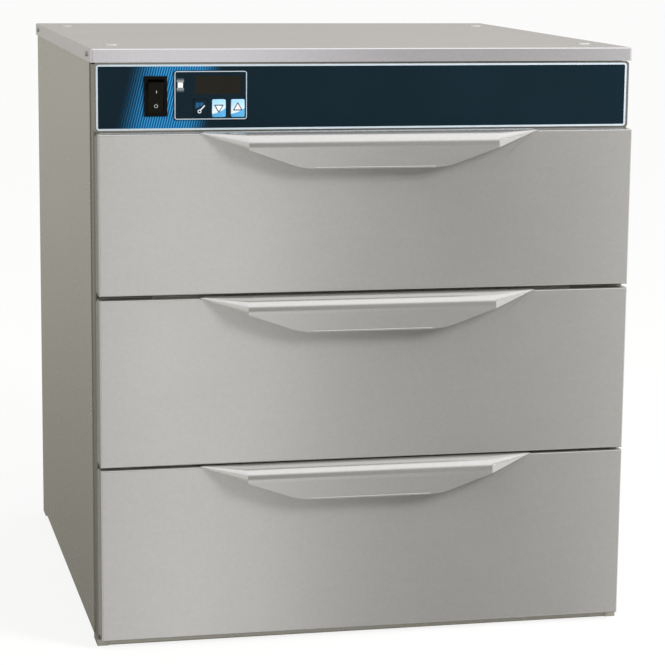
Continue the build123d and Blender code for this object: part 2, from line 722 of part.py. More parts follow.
# The three drawers and the rollers that carry them
LINER_MARGIN = 1.5
LINER_BELOW = 1.2
LINER_ABOVE = 0.3
LINER_FACE = FRONT_DEPTH
LINER_BACK = FRONT_DEPTH + SHEET
VENT_BACK_GAP = 0.3
VENT_SLIDE_SHEET = 1.0
VENT_WIDTH = (VENT_COUNT - 1) * VENT_PITCH + VENT_SLOT[0]
VENT_SLIDE_WIDTH = VENT_WIDTH + VENT_PITCH + 6
GUIDE_LIP = 3.0
GUIDE_LENGTH = VENT_SLIDE_WIDTH + VENT_PITCH + 12

HANDLE_TOP_HALF = 194.0
HANDLE_ROLL_HALF = 143.0
HANDLE_LOW_HALF = 82.0
HANDLE_BEND = 17.0
HANDLE_TIP = 0.04
HANDLE_CORNER = 80.0
HANDLE_FLANGE = 15.0
HANDLE_HEM = 1.3
HEM_HALF = 69.0


def hood_section(top, inward, scale):
    """Outline of the space under the pull's sheet, shrunk towards its root by scale."""
    root = (FRONT_Y, top + SHEET - inward)
    shoulder = (root[0] - scale * (HANDLE_REACH - inward), root[1])
    low = (root[0] - scale * (HANDLE_REACH - 1 - inward), root[1] - scale * (HANDLE_DROP + SHEET))
    with BuildSketch() as section:
        with BuildLine():
            FilletPolyline(root, shoulder, low, radius=scale * (HANDLE_BEND - inward))
            Polyline(low, (root[0] + scale * inward, low[1]), root)
        make_face()
    return section.sketch


def hood(top, inward):
    """The space under the pull's sheet: a rolled middle, and ends that narrow to the two tips."""
    with BuildPart() as space:
        with BuildSketch(Plane.YZ.offset(-HANDLE_ROLL_HALF)):
            add(hood_section(top, inward, 1))
        extrude(amount=2 * HANDLE_ROLL_HALF)
        for side in (-1, 1):
            with BuildSketch(Plane.YZ.offset(side * HANDLE_ROLL_HALF)):
                add(hood_section(top, inward, 1))
            with BuildSketch(Plane.YZ.offset(side * (HANDLE_TOP_HALF - 5 * inward))):
                add(hood_section(top, inward, HANDLE_TIP))
            loft(ruled=True)
    return space.part


for level, top, bottom in zip(LEVELS, FRONT_TOPS, FRONT_BOTTOMS):
    axis = channel_axis(top)
    seat = top - PAN_SEAT_DROP

    # Front skin: a shallow box, open at the back
    with BuildPart() as front:
        with BuildSketch(facing(FRONT_DEPTH)):
            with Locations((0, (top + bottom) / 2)):
                Rectangle(FRONT_WIDTH, top - bottom)
        extrude(amount=FRONT_DEPTH)
        fillet(front.faces().sort_by(Axis.Y)[0].edges(), 1.6)
        offset(amount=-SHEET, openings=front.faces().sort_by(Axis.Y)[-1])
    front.part.label = f"{level}_drawer_front"
    export_step(front.part, f"parts/{level}_drawer_front.step")

    # Inner skin, with rounded corners just proud of the front, vent slots and the slide's guides
    with BuildPart() as inner_skin:
        with BuildSketch(facing(LINER_FACE)):
            with Locations((0, (top + LINER_ABOVE + bottom - LINER_BELOW) / 2)):
                RectangleRounded(FRONT_WIDTH + 2 * LINER_MARGIN, top - bottom + LINER_ABOVE + LINER_BELOW, 6)
            with Locations((0, top - VENT_DROP)):
                with GridLocations(VENT_PITCH, 1, VENT_COUNT, 1):
                    Rectangle(*VENT_SLOT, mode=Mode.SUBTRACT)
        extrude(amount=-SHEET)
        for edge, inward in ((VENT_SLIDE_HEIGHT / 2, -1), (-VENT_SLIDE_HEIGHT / 2, 1)):
            guide_z = top - VENT_DROP + edge - inward * VENT_BACK_GAP
            with BuildSketch(Plane.YZ.offset(-GUIDE_LENGTH / 2)):
                with BuildLine():
                    Polyline(
                        (FRONT_Y + LINER_BACK, guide_z),
                        (FRONT_Y + LINER_BACK, guide_z - inward * SHEET),
                        (FRONT_Y + LINER_BACK + 2.8, guide_z - inward * SHEET),
                        (FRONT_Y + LINER_BACK + 2.8, guide_z + inward * GUIDE_LIP),
                        (FRONT_Y + LINER_BACK + 1.6, guide_z + inward * GUIDE_LIP),
                        (FRONT_Y + LINER_BACK + 1.6, guide_z),
                        close=True,
                    )
                make_face()
            extrude(amount=GUIDE_LENGTH)
    inner_skin.part.label = f"{level}_drawer_inner_skin"
    export_step(inner_skin.part, f"parts/{level}_drawer_inner_skin.step")

    # Vent slide: slots at the same pitch, standing between the skin's slots when shut
    with BuildPart() as vent_slide:
        with BuildSketch(facing(LINER_BACK + VENT_BACK_GAP)):
            with Locations((0, top - VENT_DROP)):
                Rectangle(VENT_SLIDE_WIDTH, VENT_SLIDE_HEIGHT)
                with GridLocations(VENT_PITCH, 1, VENT_COUNT, 1):
                    with Locations((-VENT_PITCH / 2, 0)):
                        Rectangle(VENT_SLOT[0] - 1, VENT_SLOT[1], mode=Mode.SUBTRACT)
        extrude(amount=-VENT_SLIDE_SHEET)
        with BuildSketch(facing(LINER_BACK + VENT_BACK_GAP + VENT_SLIDE_SHEET)):
            with Locations((VENT_SLIDE_WIDTH / 2 - 5, top - VENT_DROP)):
                Rectangle(5, 20)
        extrude(amount=-9)
    vent_slide.part.label = f"{level}_vent_slide"
    export_step(vent_slide.part, f"parts/{level}_vent_slide.step")

    # Pull: a sheet rolled over a wide radius whose ends narrow to points, with a hem and a root flange
    with BuildPart() as handle:
        add(hood(top, 0))
        add(hood(top, SHEET), mode=Mode.SUBTRACT)
        with BuildSketch(facing(-HANDLE_REACH - 5)):
            with BuildLine():
                trim = FilletPolyline(
                    (-HANDLE_TOP_HALF, top + SHEET),
                    (-HANDLE_LOW_HALF, top - HANDLE_DROP),
                    (HANDLE_LOW_HALF, top - HANDLE_DROP),
                    (HANDLE_TOP_HALF, top + SHEET),
                    radius=HANDLE_CORNER,
                )
                Polyline(trim @ 1, (HANDLE_TOP_HALF, top - 60), (-HANDLE_TOP_HALF, top - 60), trim @ 0)
            make_face()
        extrude(amount=-HANDLE_REACH - 4.5, mode=Mode.SUBTRACT)
        with BuildSketch(Plane.YZ.offset(-HEM_HALF)):
            with Locations((FRONT_Y - HANDLE_REACH + 0.5 + HANDLE_HEM, top - HANDLE_DROP + 0.6)):
                Circle(HANDLE_HEM)
        extrude(amount=2 * HEM_HALF)
        with BuildSketch(Plane.XY.offset(top)):
            with Locations((0, FRONT_Y + (HANDLE_FLANGE - 1) / 2)):
                Rectangle(2 * HANDLE_TOP_HALF - 8, HANDLE_FLANGE + 1)
        extrude(amount=SHEET)
    handle.part.label = f"{level}_drawer_handle"
    export_step(handle.part, f"parts/{level}_drawer_handle.step")

    # Frame: two runners and two cross members welded together, with the rear rollers' pins
    flange_under = axis + ROLLER_RADIUS + FRONT_ROLLER_RISE + RUNNING_GAP
    with BuildPart() as frame:
        for side in (-1, 1):
            turn = Side.RIGHT if side > 0 else Side.LEFT
            with BuildSketch(facing(LINER_BACK)):
                add(
                    folded(
                        [
                            (side * RUNNER_LEDGE, seat),
                            (side * RUNNER_WEB, seat),
                            (side * RUNNER_WEB, top - RUNNER_FOOT),
                        ],
                        SHEET,
                        bend=0,
                        side=turn,
                    )
                )
                add(
                    folded(
                        [
                            (side * (RUNNER_WEB + SHEET), top - RUNNER_FOOT),
                            (side * (RUNNER_WEB + SHEET), flange_under),
                            (side * (RUNNER_WEB + 14), flange_under),
                        ],
                        SHEET,
                        bend=0,
                        side=Side.LEFT if side > 0 else Side.RIGHT,
                    )
                )
            extrude(amount=-(RUNNER_END - LINER_BACK))
            with BuildSketch(Plane.YZ.offset(side * (RUNNER_WEB - SHEET))):
                with Locations((FRONT_Y + REAR_ROLLER_DEPTH, axis)):
                    Circle(PIN_RADIUS)
            extrude(amount=side * (ROLLER_X + ROLLER_WIDTH / 2 + 0.8 - RUNNER_WEB + SHEET))
        with BuildSketch(facing(LINER_BACK)):
            with Locations((0, top - RUNNER_FOOT - 1.5)):
                Rectangle(2 * RUNNER_WEB, 14)
        extrude(amount=-SHEET)
        with BuildSketch(facing(RUNNER_END)):
            with Locations((0, (seat + top - RUNNER_FOOT) / 2)):
                Rectangle(2 * RUNNER_WEB, seat - top + RUNNER_FOOT)
        extrude(amount=SHEET)
    frame.part.label = f"{level}_drawer_frame"
    export_step(frame.part, f"parts/{level}_drawer_frame.step")

    # Lift-out pan: drawn sides, rounded corners, a rim that rests on the runners
    pan_place = (0, FRONT_Y + PAN_CENTRE_DEPTH)
    with BuildPart() as hollow:
        with BuildSketch(Plane.XY.offset(seat + LINER_SHEET)):
            with Locations(pan_place):
                RectangleRounded(PAN_WIDTH - 2 * LINER_SHEET, PAN_LENGTH - 2 * LINER_SHEET, PAN_CORNER)
        extrude(amount=-PAN_DEPTH, taper=PAN_DRAFT)
        chamfer(hollow.faces().sort_by(Axis.Z)[0].edges(), PAN_EDGE)
    with BuildPart() as pan:
        with BuildSketch(Plane.XY.offset(seat + LINER_SHEET)):
            with Locations(pan_place):
                RectangleRounded(PAN_WIDTH, PAN_LENGTH, PAN_CORNER + LINER_SHEET)
        extrude(amount=-PAN_DEPTH - LINER_SHEET, taper=PAN_DRAFT)
        chamfer(pan.faces().sort_by(Axis.Z)[0].edges(), PAN_EDGE)
        with BuildSketch(Plane.XY.offset(seat)):
            with Locations(pan_place):
                RectangleRounded(PAN_WIDTH + 2 * PAN_RIM, PAN_LENGTH + 2 * PAN_RIM, PAN_CORNER + PAN_RIM)
        extrude(amount=LINER_SHEET)
        add(hollow.part, mode=Mode.SUBTRACT)
    pan.part.label = f"{level}_drawer_pan"
    export_step(pan.part, f"parts/{level}_drawer_pan.step")

    # Rollers: the rear pair travels with the drawer, the front pair stays in the channels
    rear_rollers = roller_pair(REAR_ROLLER_DEPTH, axis)
    rear_rollers.label = f"{level}_rear_rollers"
    export_step(rear_rollers, f"parts/{level}_rear_rollers.step")

    front_rollers = roller_pair(FRONT_ROLLER_DEPTH, axis + FRONT_ROLLER_RISE)
    front_rollers.label = f"{level}_front_rollers"
    export_step(front_rollers, f"parts/{level}_front_rollers.step")
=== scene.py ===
"""Looks for the three-drawer warming cabinet: finishes, control panel, marks, screws and studio.

Metres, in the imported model's frame: X to the right, Y from front to back, Z up.
"""

import json
import math

import bpy
from bpy.props import FloatProperty, FloatVectorProperty, PointerProperty
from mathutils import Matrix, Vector


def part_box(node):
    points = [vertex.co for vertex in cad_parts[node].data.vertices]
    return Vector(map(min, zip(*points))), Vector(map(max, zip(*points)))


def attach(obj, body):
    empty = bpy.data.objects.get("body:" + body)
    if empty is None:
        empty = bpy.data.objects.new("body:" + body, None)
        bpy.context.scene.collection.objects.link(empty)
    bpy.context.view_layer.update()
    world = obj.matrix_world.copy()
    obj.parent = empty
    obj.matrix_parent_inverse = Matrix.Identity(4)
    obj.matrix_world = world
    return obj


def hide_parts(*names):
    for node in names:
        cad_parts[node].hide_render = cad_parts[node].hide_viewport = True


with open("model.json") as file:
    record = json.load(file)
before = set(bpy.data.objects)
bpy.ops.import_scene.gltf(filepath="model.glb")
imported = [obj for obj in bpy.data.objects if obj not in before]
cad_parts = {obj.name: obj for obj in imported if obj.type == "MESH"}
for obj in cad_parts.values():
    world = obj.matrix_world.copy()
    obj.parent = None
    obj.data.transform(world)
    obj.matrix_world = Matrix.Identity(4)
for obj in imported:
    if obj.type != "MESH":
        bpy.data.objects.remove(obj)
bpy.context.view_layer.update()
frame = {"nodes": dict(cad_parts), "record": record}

bl_info = {
    "name": "Warming cabinet looks",
    "version": (1, 0, 0),
    "blender": (4, 5, 0),
    "location": "3D View > Sidebar > Warming cabinet",
    "description": "Dresses the three-drawer warming cabinet and sets up its studio",
    "category": "Object",
}

MM = 0.001
QUARTER_TURN = math.radians(90)
LEVELS = ("upper", "middle", "lower")
DRAWER_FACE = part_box("upper_drawer_front")[0][1]
OVERLAY_LOW, OVERLAY_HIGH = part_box("fascia_overlay")
CONTROLLER_LOW, CONTROLLER_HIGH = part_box("controller_case")
CONTROLLER_FACE = CONTROLLER_LOW[1]
# Thickness of the printed pieces
PRINT = 0.12 * MM
# The rocker's marks, placed from its pivot: a bar above for on and a ring below for off
ROCKER_LEAN = math.radians(8)
ON_PLACE = (0.5 * MM, -8.0 * MM, 6.0 * MM)
ON_SIZE = (0.8 * MM, 0.5 * MM, 3.2 * MM)
OFF_PLACE = (0.2 * MM, -8.6 * MM, -9.8 * MM)
OFF_RADIUS = 2.1 * MM
OFF_WIDTH = 0.55 * MM
OFF_HEIGHT = 0.5 * MM
# The controller's printed outline, set in from its bezel's edge
OUTLINE_INSET = 0.7 * MM
OUTLINE_WIDTH = 0.9 * MM
OUTLINE_CORNER = 2.6 * MM
# The bars above and below the indicator, and how far from its middle they are darkest
BAR_SIZE = (8 * MM, PRINT, 4.2 * MM)
BAR_OFFSET = 5.6 * MM
BAR_PITCH = 1.2 * MM
BAR_REACH = 7.6 * MM
# The arrows on the keys, and how far each is turned and raised above its key's middle
ARROW_RADIUS = 6.5 * MM
ARROW_CORNER = 1.1 * MM
ARROW_RIM = 1.2 * MM
ARROWS = {"down": (math.pi, 0.8 * MM), "up": (0, 0.6 * MM)}
# The set key's lines, placed from the key's middle: their tops are level and each is shorter
LINE_COUNT = 6
LINE_START = -4.6 * MM
LINE_PITCH = 1.5 * MM
LINE_WIDTH = 0.55 * MM
LINE_TOP = 6.5 * MM
LINE_LENGTH = 6.6 * MM
LINE_STEP = 0.7 * MM
# The set key's mark, placed from the key's middle: a ring, and a bar that leans to the right
RING_PLACE = (-0.8 * MM, -3.4 * MM)
RING_RADIUS = 2.1 * MM
RING_WIDTH = 0.9 * MM
HANDLE_PLACE = (2.4 * MM, 0.4 * MM)
HANDLE_SIZE = (1.3 * MM, PRINT, 7.6 * MM)
HANDLE_LEAN = math.radians(45)
# Casing screws: the heads' size and dish, and their places on the cover's sides and the back panel
SCREW_HEIGHT = 1.6 * MM
SCREW_RADIUS = 3.2 * MM
SCREW_RIM = 0.8 * MM
SCREW_DISH = 0.4 * MM
SIDE_SCREW_DEPTHS = (56 * MM, 614 * MM)
SIDE_SCREW_HEIGHT = 668.8 * MM
BACK_SCREW_X = 299 * MM
BACK_SCREW_HEIGHTS = (40 * MM, 340 * MM, 640 * MM)
# Brightness of the floor that the fronts mirror: straight ahead, and its changes further to the
# right, each as the bearings in degrees where it starts and ends, and its amount
AHEAD_LEVEL = 0.45
AHEAD_CHANGES = ((6, 8, 0.75), (10, 13.5, -1.15), (18.5, 22, 0.8), (26, 32, -0.45))


def srgb(code):
    """A hex colour as the linear red, green and blue that Blender works in."""
    values = [int(code[i : i + 2], 16) / 255 for i in (1, 3, 5)]
    return tuple(v / 12.92 if v <= 0.04045 else ((v + 0.055) / 1.055) ** 2.4 for v in values)


def colour_setting(name, description, code):
    """A colour that the user may change, with its default given as hex."""
    return FloatVectorProperty(
        name=name, description=description, default=srgb(code), subtype="COLOR", size=3, min=0, max=1
    )


class FinishSettings(bpy.types.PropertyGroup):
    """Colours and grain of the cabinet's finishes."""

    front_steel: colour_setting("Drawer steel", "Satin stainless of the drawers and pulls", "#c6c5c2")
    # Painted light: the cover's steel is a lighter, faintly lilac copy of the drawers' stainless, for its
    # brightly lit front lip
    lit_cover_steel: colour_setting("Cover steel", "Satin stainless of the top cover", "#d3d1d4")
    side_steel: colour_setting("Side steel", "Satin stainless of the side panels and rails", "#bbb9ae")
    # Painted shade: the fascia's steel is a darker, warmer copy of the same stainless, for the shade under
    # the cover's lip
    shaded_fascia_steel: colour_setting("Fascia steel", "Satin stainless of the strip round the overlay", "#8f8c84")
    # Painted shade: the posts' steel is a darker copy of the same stainless, for the shade in the gaps beside
    # the drawers
    shaded_post_steel: colour_setting("Post steel", "Satin stainless of the front posts", "#77756a")
    overlay: colour_setting("Overlay", "Dark ground of the printed overlay", "#0f2029")
    stripe: colour_setting("Stripes", "Slanting lines of the overlay", "#3f9bd0")
    border: colour_setting("Border", "Pale line round the overlay", "#bcc8d0")
    grain: FloatProperty(
        name="Grain", description="Width of the steel's brush marks", default=0.6 * MM, unit="LENGTH"
    )
    roughness: FloatProperty(
        name="Roughness",
        description="Roughness of the drawers' and cover's steel",
        default=0.18,
        min=0,
        max=1,
    )
    side_roughness: FloatProperty(
        name="Side roughness",
        description="Roughness of the side panels', rails' and posts' steel",
        default=0.26,
        min=0,
        max=1,
    )


class PanelSettings(bpy.types.PropertyGroup):
    """Sizes of the control panel's printed and moulded details."""

    border_width: FloatProperty(
        name="Border width", description="Width of the overlay's pale border", default=2.1 * MM, unit="LENGTH"
    )
    border_corner: FloatProperty(
        name="Border corner",
        description="Corner radius of the overlay's border",
        default=3.4 * MM,
        unit="LENGTH",
    )
    stripe_pitch: FloatProperty(
        name="Stripe pitch",
        description="Distance from one stripe to the next",
        default=2.8 * MM,
        unit="LENGTH",
    )
    stripe_slant: FloatProperty(
        name="Stripe slant", description="Sideways run of a stripe for each unit of height", default=0.25
    )
    key_corner: FloatProperty(
        name="Key corner", description="Corner radius of the keys", default=1.8 * MM, unit="LENGTH"
    )


class StudioSettings(bpy.types.PropertyGroup):
    """The camera, lamp, surroundings and floor."""

    camera: FloatVectorProperty(
        name="Camera",
        description="Place of the camera",
        default=(-0.6090, DRAWER_FACE - 2.5141, 0.8163),
        subtype="TRANSLATION",
    )
    lens: FloatProperty(name="Lens", description="Focal length on a 36 mm frame, in mm", default=125.4)
    pitch: FloatProperty(
        name="Pitch",
        description="Camera's tilt from straight down",
        default=math.radians(79.915),
        subtype="ANGLE",
    )
    roll: FloatProperty(
        name="Roll", description="Camera's roll", default=math.radians(-0.547), subtype="ANGLE"
    )
    yaw: FloatProperty(
        name="Yaw",
        description="Camera's turn about the vertical",
        default=math.radians(-12.588),
        subtype="ANGLE",
    )
    lamp: FloatVectorProperty(
        name="Lamp", description="Place of the soft lamp", default=(1.9, -2.1, 1.8), subtype="TRANSLATION"
    )
    lamp_size: FloatProperty(
        name="Lamp size", description="Side of the soft lamp", default=0.9, unit="LENGTH"
    )
    lamp_power: FloatProperty(
        name="Lamp power", description="Power of the soft lamp", default=108, unit="POWER"
    )
    ambient: FloatProperty(
        name="Ambient", description="Strength of the light from all round", default=1.0
    )
    floor: colour_setting("Floor", "Colour of the floor", "#f2f1ee")


def add_node(tree, kind, inputs=None, **settings):
    """Adds a shader node. Inputs are numbers, colours or other nodes' output sockets."""
    node = tree.nodes.new(kind)
    for name, value in settings.items():
        setattr(node, name, value)
    for key, value in (inputs or {}).items():
        if isinstance(value, bpy.types.NodeSocket):
            tree.links.new(value, node.inputs[key])
        else:
            node.inputs[key].default_value = value
    return node


def maths(tree, operation, *values):
    """A Math node's output for one, two or three values or sockets."""
    return add_node(tree, "ShaderNodeMath", dict(enumerate(values)), operation=operation).outputs[0]


def blend(tree, factor, first, second):
    """A colour between two colours."""
    node = add_node(tree, "ShaderNodeMix", {0: factor, 6: first, 7: second}, data_type="RGBA")
    return node.outputs[2]


def between(tree, factor, first, second):
    """A number between two numbers."""
    return add_node(tree, "ShaderNodeMix", {0: factor, 2: first, 3: second}).outputs[0]


def ramp(tree, value, start, end):
    """Zero before start, one past end and a smooth rise between them, from either side."""
    inputs = {"Value": value, "From Min": start, "From Max": end}
    return add_node(tree, "ShaderNodeMapRange", inputs, interpolation_type="SMOOTHSTEP").outputs[0]


def new_finish(name, **constants):
    """A material with a Principled shader, and its tree, shader and object coordinates."""
    material = bpy.data.materials.new(name)
    material.use_nodes = True
    tree = material.node_tree
    shader = tree.nodes["Principled BSDF"]
    for key, value in constants.items():
        shader.inputs[key.replace("_", " ")].default_value = value
    place = add_node(tree, "ShaderNodeTexCoord").outputs["Object"]
    return material, tree, shader, place


def rgba(colour, lift=1.0):
    """A colour, as hex or as linear values, with its alpha, made lighter or darker by lift."""
    linear = srgb(colour) if isinstance(colour, str) else colour
    return (*[min(1.0, c * lift) for c in linear[:3]], 1.0)


def speckle(tree, place, scale, detail=3.0, stretch=(1, 1, 1)):
    """Noise whose spots are 1 / scale metres wide, drawn out by stretch."""
    moved = add_node(tree, "ShaderNodeMapping", {"Vector": place, "Scale": stretch}).outputs[0]
    inputs = {"Vector": moved, "Scale": scale, "Detail": detail}
    return add_node(tree, "ShaderNodeTexNoise", inputs).outputs["Fac"]


def add_bump(tree, shader, height, strength, distance=0.05 * MM):
    """Gives a shader's surface a fine relief."""
    inputs = {"Height": height, "Strength": strength, "Distance": distance}
    bump = add_node(tree, "ShaderNodeBump", inputs)
    tree.links.new(bump.outputs[0], shader.inputs["Normal"])


def brushed_steel(name, colour, roughness, grain, run):
    """Satin stainless sheet, belt-ground along one direction: a soft sheen with fine marks along the run.

    The belt's real marks are about 0.1 mm wide. They are drawn as wide as the grain so that they
    show, in bands of six times that width.
    """
    material, tree, shader, place = new_finish(name, Metallic=0.7)
    marks = speckle(tree, place, 1 / grain, 2.0, tuple(0.012 if axis == run else 1.0 for axis in "XYZ"))
    streaks = speckle(tree, place, 0.16 / grain, 3.0, tuple(0.05 if axis == run else 1.0 for axis in "XYZ"))
    # Spots 4 mm wide, and patches 140 mm wide from handling
    mottle = speckle(tree, place, 240.0, 2.0)
    haze = speckle(tree, place, 7.0, 3.0)
    tone = maths(tree, "ADD", maths(tree, "MULTIPLY", marks, 0.2), maths(tree, "MULTIPLY", mottle, 0.65))
    tone = maths(tree, "ADD", tone, maths(tree, "MULTIPLY", streaks, 0.15))
    tree.links.new(blend(tree, tone, rgba(colour, 0.91), rgba(colour, 1.09)), shader.inputs["Base Color"])
    rough = maths(tree, "MULTIPLY_ADD", maths(tree, "SUBTRACT", marks, 0.5), 0.06, roughness)
    rough = maths(tree, "MULTIPLY_ADD", maths(tree, "SUBTRACT", haze, 0.5), 0.05, rough)
    tree.links.new(rough, shader.inputs["Roughness"])
    add_bump(tree, shader, marks, 0.03)
    return material


def plated_steel(name, code):
    """Zinc-plated or mill-finished sheet: crystals give it a soft spangle and an uneven shine."""
    material, tree, shader, place = new_finish(name, Metallic=1.0)
    # Spangles about 8 mm across, and clouds 33 mm wide
    cells = add_node(tree, "ShaderNodeTexVoronoi", {"Vector": place, "Scale": 130.0}).outputs["Color"]
    shade = add_node(tree, "ShaderNodeSeparateColor", {"Color": cells}).outputs[0]
    cloud = speckle(tree, place, 30.0)
    tone = maths(tree, "ADD", maths(tree, "MULTIPLY", shade, 0.5), maths(tree, "MULTIPLY", cloud, 0.5))
    tree.links.new(blend(tree, tone, rgba(code, 0.85), rgba(code, 1.12)), shader.inputs["Base Color"])
    tree.links.new(maths(tree, "MULTIPLY_ADD", tone, 0.2, 0.35), shader.inputs["Roughness"])
    return material


def moulded_plastic(name, colour, roughness, shine=0.5):
    """Moulded plastic or rubber, or thick print: a fine texture dulls its gloss, and its colour varies.

    A mould's spark-eroded texture is about 0.1 mm wide. It is drawn 0.8 mm wide so that it shows.
    The colour varies a little, in clouds 17 mm wide.
    """
    material, tree, shader, place = new_finish(name, Specular_IOR_Level=shine)
    fine = speckle(tree, place, 1200.0, 2.0)
    cloud = speckle(tree, place, 60.0)
    tree.links.new(blend(tree, cloud, rgba(colour, 0.9), rgba(colour, 1.1)), shader.inputs["Base Color"])
    tree.links.new(maths(tree, "MULTIPLY_ADD", fine, 0.12, roughness - 0.06), shader.inputs["Roughness"])
    add_bump(tree, shader, fine, 0.15)
    return material


def mineral_wool():
    """Mineral wool batt: matted fibres in lumps of 22 mm, pale yellow and with no shine.

    Real fibres are a few hundredths of a millimetre thick. They are drawn 2 mm wide so that they show.
    """
    material, tree, shader, place = new_finish("Insulation batt", Roughness=0.95)
    fibres = speckle(tree, place, 500.0, 6.0, (1, 1, 0.2))
    lumps = speckle(tree, place, 45.0, 4.0)
    tone = maths(tree, "ADD", maths(tree, "MULTIPLY", fibres, 0.6), maths(tree, "MULTIPLY", lumps, 0.4))
    tree.links.new(blend(tree, tone, rgba("#8d8352"), rgba("#e2dbb4")), shader.inputs["Base Color"])
    add_bump(tree, shader, tone, 0.8, 1.5 * MM)
    return material


def printed_overlay(finishes, sizes):
    """Polyester film printed behind: a dark ground with a band of thin slanting stripes that fade out."""
    name = "Printed polyester overlay"
    material, tree, shader, place = new_finish(name, Roughness=0.45, Specular_IOR_Level=0.1)
    axes = add_node(tree, "ShaderNodeSeparateXYZ", {"Vector": place}).outputs
    middle = (OVERLAY_LOW[2] + OVERLAY_HIGH[2]) / 2
    height = maths(tree, "SUBTRACT", axes["Z"], middle)
    across = maths(tree, "MULTIPLY_ADD", height, -sizes.stripe_slant, axes["X"])
    wave = maths(tree, "SINE", maths(tree, "MULTIPLY", across, 2 * math.pi / sizes.stripe_pitch))
    line = ramp(tree, wave, 0.0, 1.0)
    # The band's two soft edges, to the left of the cabinet's middle
    rise = ramp(tree, across, -278 * MM, -238 * MM)
    fall = ramp(tree, across, -172 * MM, -202 * MM)
    band = maths(tree, "MULTIPLY", rise, fall)
    # Clouds 70 mm wide in the ground
    cloud = speckle(tree, place, 14.0)
    ground = blend(tree, cloud, rgba(finishes.overlay, 0.85), rgba(finishes.overlay, 1.15))
    tinted = blend(tree, maths(tree, "MULTIPLY", band, 0.9), ground, rgba("#0c5386"))
    striped = blend(tree, maths(tree, "MULTIPLY", band, line), tinted, rgba(finishes.stripe))
    tree.links.new(striped, shader.inputs["Base Color"])
    # The film's faint texture, drawn 0.7 mm wide so that it shows
    add_bump(tree, shader, speckle(tree, place, 1500.0), 0.1)
    return material


def key_print(name, centre):
    """A key's print on polyester film: pale above, with a blue sweep rising to the right below."""
    material, tree, shader, place = new_finish(name, Roughness=0.45)
    axes = add_node(tree, "ShaderNodeSeparateXYZ", {"Vector": place}).outputs
    across = maths(tree, "SUBTRACT", axes["X"], centre.x)
    height = maths(tree, "SUBTRACT", axes["Z"], centre.z)
    # The sweep's upper edge is bowed and rises by 0.42 for each unit across
    bow = maths(tree, "MULTIPLY", maths(tree, "MULTIPLY", across, across), -22.0)
    edge = maths(tree, "ADD", maths(tree, "MULTIPLY_ADD", across, -0.42, height), bow)
    pale = blend(tree, ramp(tree, height, -6 * MM, 9 * MM), rgba("#e6f1f8"), rgba("#9ccdec"))
    sweep = ramp(tree, edge, -3.9 * MM, -4.5 * MM)
    tree.links.new(blend(tree, sweep, pale, rgba("#55a9dc")), shader.inputs["Base Color"])
    return material


def graded_bars(centre_z):
    """Printed grey bars that darken away from the indicator."""
    material, tree, shader, place = new_finish("Printed bars, grey", Roughness=0.5)
    height = add_node(tree, "ShaderNodeSeparateXYZ", {"Vector": place}).outputs["Z"]
    away = maths(tree, "ABSOLUTE", maths(tree, "SUBTRACT", height, centre_z))
    steps = maths(tree, "SINE", maths(tree, "MULTIPLY", away, 2 * math.pi / BAR_PITCH))
    fade = ramp(tree, away, BAR_REACH, 0.35 * BAR_REACH)
    tone = maths(tree, "MULTIPLY", fade, maths(tree, "MULTIPLY_ADD", steps, 0.12, 0.88))
    tree.links.new(blend(tree, tone, rgba("#2b3b45"), rgba("#a4aaad")), shader.inputs["Base Color"])
    return material


def dress(material, *names):
    """Gives CAD nodes a finish."""
    for name in names:
        for slot in frame["nodes"][name].material_slots:
            slot.material = material


def settle(name, body, material):
    """Names the active piece, fixes its place in its mesh, and gives it a finish and a body."""
    piece = bpy.context.object
    bpy.ops.object.transform_apply(location=True, rotation=True, scale=True)
    piece.name = piece.data.name = name
    piece.data.materials.append(material)
    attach(piece, body)
    return piece


def select(piece, faces=None, edges=None):
    """Selects faces by centre and normal, or edges by their two ends, and stays in edit mode."""
    bpy.ops.object.mode_set(mode="EDIT")
    bpy.ops.mesh.select_mode(type="FACE" if faces else "EDGE")
    bpy.ops.mesh.select_all(action="DESELECT")
    bpy.ops.object.mode_set(mode="OBJECT")
    mesh = piece.data
    if faces:
        for polygon in mesh.polygons:
            polygon.select = faces(polygon.center, polygon.normal)
    else:
        for edge in mesh.edges:
            edge.select = edges(*[mesh.vertices[i].co for i in edge.vertices])
    bpy.ops.object.mode_set(mode="EDIT")


def add_block(centre, size):
    """A box of that size at that place, the only thing selected, in object mode."""
    bpy.ops.object.select_all(action="DESELECT")
    bpy.ops.mesh.primitive_cube_add(size=1, location=centre)
    block = bpy.context.object
    block.scale = size
    bpy.ops.object.transform_apply(location=True, rotation=True, scale=True)
    return block


def turn_mesh(angle, axis, centre):
    """Turns the active piece's mesh about an axis through a point."""
    bpy.ops.object.mode_set(mode="EDIT")
    bpy.ops.mesh.select_all(action="SELECT")
    bpy.ops.transform.rotate(value=angle, orient_axis=axis, center_override=tuple(centre))
    bpy.ops.object.mode_set(mode="OBJECT")


def round_corners(piece, radius, segments=6):
    """Rounds the edges that run from front to back."""
    select(piece, edges=lambda a, b: abs(a.y - b.y) > 1e-6 and (a - b).length - abs(a.y - b.y) < 1e-7)
    bpy.ops.mesh.bevel(offset=radius, segments=segments)
    bpy.ops.object.mode_set(mode="OBJECT")


def soften_front(piece, width):
    """Takes the sharpness off the edges of the front face."""
    front = min(v.co.y for v in piece.data.vertices)
    select(piece, edges=lambda a, b: a.y < front + 1e-7 and b.y < front + 1e-7)
    bpy.ops.mesh.bevel(offset=width, segments=2)
    bpy.ops.object.mode_set(mode="OBJECT")


def hollow(piece, width):
    """Leaves a frame of that width: the front and back are inset and their openings bridged."""
    select(piece, faces=lambda c, n: abs(n.y) > 0.9)
    bpy.ops.mesh.inset(thickness=width)
    bpy.ops.mesh.bridge_edge_loops()
    bpy.ops.object.mode_set(mode="OBJECT")


